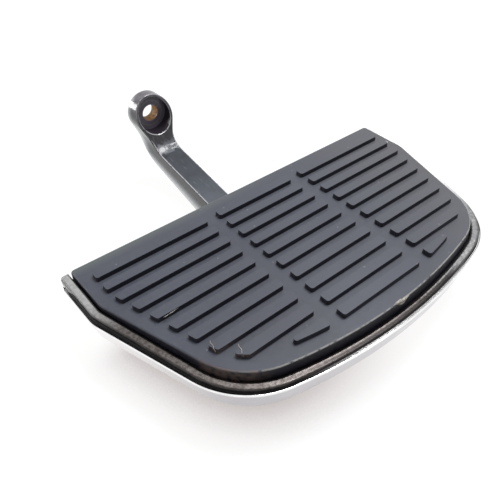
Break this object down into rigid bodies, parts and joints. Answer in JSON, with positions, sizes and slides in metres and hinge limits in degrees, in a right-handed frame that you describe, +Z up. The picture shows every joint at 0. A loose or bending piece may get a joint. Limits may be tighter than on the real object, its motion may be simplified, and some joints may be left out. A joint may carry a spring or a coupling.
{
  "type": "motorcycle passenger floorboard",
  "caption": "Folding motorcycle passenger floorboard with ribbed rubber pad, cast pan, chromed cover and forged mounting arm.",
  "frame": {"origin": "centre of the eye's bolt bore at the arm's back face, which bears on the motorcycle", "axes": "+X along the deck's straight edge, +Y towards the motorcycle along the bolt, +Z up"},
  "size_m": [0.2352, 0.2444, 0.0663],
  "materials": {
    "tread_rubber": "matte, worn grey",
    "stop_rubber": "matte",
    "cast_pan": "black coating, worn to bare metal on the lip",
    "chrome_cover": "polished",
    "black_arm": "satin black coating",
    "zinc_steel": "zinc plated",
    "black_steel": "black oxide",
    "pin_steel": "ground",
    "spring_steel": "oiled",
    "bronze": "sintered"
  },
  "bodies": {
    "arm": {"support_arm": "black_arm", "stop_bumper": "stop_rubber", "bush_left": "bronze", "bush_right": "bronze"},
    "board": {"tread_pad": "tread_rubber", "pad_insert": "zinc_steel", "stud_washers": "zinc_steel", "stud_nuts": "zinc_steel", "footboard_pan": "cast_pan", "pan_cover": "chrome_cover", "cover_washers": "zinc_steel", "cover_screws": "black_steel", "pivot_pin": "pin_steel", "thrust_washer_left": "zinc_steel", "thrust_washer_right": "zinc_steel", "wave_washer_left": "spring_steel", "wave_washer_right": "spring_steel", "retaining_clip_left": "spring_steel", "retaining_clip_right": "spring_steel", "pin_lock_screw": "black_steel"}
  },
  "joints": [
    {"name": "board_fold", "type": "hinge", "parent": "arm", "child": "board", "pos_m": [0, -0.118, -0.0318], "axis": [-1, 0, 0], "range_deg": [0, 80]}
  ]
}
